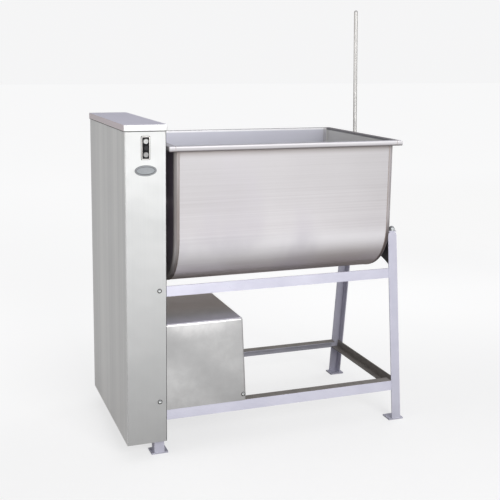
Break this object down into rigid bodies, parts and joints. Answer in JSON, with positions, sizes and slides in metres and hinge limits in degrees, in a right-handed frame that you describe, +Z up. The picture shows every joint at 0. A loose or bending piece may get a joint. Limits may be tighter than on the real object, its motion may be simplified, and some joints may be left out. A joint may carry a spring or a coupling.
{
  "type": "dough mixer",
  "caption": "Horizontal trough dough mixer: brushed steel trough with tilting lever, slim drive cabinet, motor box and leaning angle iron frame.",
  "frame": {"origin": "on the floor, under the middle of the machine's overall length and depth", "axes": "+X along the mixing shaft from the drive cabinet to the tilting lever, +Y from the front to the back, +Z up"},
  "size_m": [1.213, 0.6718, 1.729],
  "materials": {
    "frame_paint": "silver enamel, satin",
    "trough_steel": "brushed lengthwise",
    "cabinet_steel": "fine brushed sheet",
    "cover_steel": "thin bright sheet",
    "bright_steel": "turned and polished",
    "zinc_bolts": "zinc plated",
    "cast_iron": "as cast and machined",
    "belt_rubber": "matt black",
    "bush_bronze": "machined bronze",
    "gland_plastic": "white sealing plastic",
    "motor_paint": "grey-blue enamel",
    "fan_plastic": "black moulded",
    "station_black": "black moulded",
    "plate_alloy": "satin",
    "badge_alloy": "satin, bare of text",
    "button_white": "moulded",
    "button_black": "moulded",
    "button_pale": "moulded"
  },
  "bodies": {
    "base": {"leg_front_right": "frame_paint", "leg_back_right": "frame_paint", "leg_front_left": "frame_paint", "leg_back_left": "frame_paint", "foot_plates": "frame_paint", "leg_top_pads": "frame_paint", "leg_top_nuts": "zinc_bolts", "front_bottom_rail": "frame_paint", "back_bottom_rail": "frame_paint", "front_middle_rail": "frame_paint", "back_middle_rail": "frame_paint", "right_end_rail": "frame_paint", "left_end_rail": "frame_paint", "right_bearing_plate": "frame_paint", "left_bearing_plate": "frame_paint", "left_trunnion_bearing": "cast_iron", "right_trunnion_bearing": "cast_iron", "bearing_bolts": "zinc_bolts", "countershaft_bearing": "cast_iron", "v_belts": "belt_rubber", "motor_body": "motor_paint", "motor_end_bells": "motor_paint", "motor_fan_cowl": "motor_paint", "motor_terminal_box": "motor_paint", "motor_terminal_lid": "motor_paint", "motor_tray": "frame_paint", "motor_cross_bars": "frame_paint", "motor_cover": "cover_steel", "cabinet_shell": "cabinet_steel", "cabinet_inner_panel": "cabinet_steel", "cabinet_cap": "cabinet_steel", "cabinet_brackets": "frame_paint", "panel_screws": "zinc_bolts", "switch_plate": "plate_alloy", "switch_body": "station_black", "badge_plate": "badge_alloy"},
    "trough": {"trough_wrap": "trough_steel", "trough_left_head": "trough_steel", "trough_right_head": "trough_steel", "trough_rim": "trough_steel", "left_trunnion": "bright_steel", "right_trunnion": "bright_steel", "trunnion_bushes": "bush_bronze", "shaft_glands": "gland_plastic", "lever_rod": "bright_steel", "lever_brackets": "bright_steel", "lever_collar": "bright_steel"},
    "rotor": {"mixing_shaft": "bright_steel", "mixing_arms": "bright_steel", "mixing_blades": "bright_steel", "main_gear": "cast_iron"},
    "countershaft_unit": {"countershaft": "bright_steel", "pinion": "cast_iron", "big_pulley": "cast_iron"},
    "motor_rotor": {"motor_shaft": "bright_steel", "motor_fan": "fan_plastic", "motor_pulley": "cast_iron"},
    "forward_button": {"forward_button": "button_white"},
    "reverse_button": {"reverse_button": "button_black"},
    "stop_button": {"stop_button": "button_pale"}
  },
  "joints": [
    {"name": "rotor_spin", "type": "hinge", "parent": "base", "child": "rotor", "pos_m": [0, 0, 0.935], "axis": [1, 0, 0], "continuous": true},
    {"name": "countershaft_spin", "type": "hinge", "parent": "base", "child": "countershaft_unit", "pos_m": [-0.53, 0, 0.68], "axis": [1, 0, 0], "continuous": true},
    {"name": "motor_spin", "type": "hinge", "parent": "base", "child": "motor_rotor", "pos_m": [-0.3, -0.096, 0.2585], "axis": [1, 0, 0], "continuous": true},
    {"name": "trough_tilt", "type": "hinge", "parent": "base", "child": "trough", "pos_m": [0, 0, 0.935], "axis": [1, 0, 0], "range_deg": [0, 80]},
    {"name": "forward_press", "type": "slide", "parent": "base", "child": "forward_button", "axis": [0, 1, 0], "range_m": [0, 0.004], "stiffness_N_per_m": 300, "springref_m": -0.003},
    {"name": "reverse_press", "type": "slide", "parent": "base", "child": "reverse_button", "axis": [0, 1, 0], "range_m": [0, 0.004], "stiffness_N_per_m": 300, "springref_m": -0.003},
    {"name": "stop_press", "type": "slide", "parent": "base", "child": "stop_button", "axis": [0, 1, 0], "range_m": [0, 0.004], "stiffness_N_per_m": 300, "springref_m": -0.003}
  ],
  "couplings": [
    {"joint": "countershaft_spin", "follows": "rotor_spin", "ratio": -4},
    {"joint": "motor_spin", "follows": "rotor_spin", "ratio": -14}
  ]
}
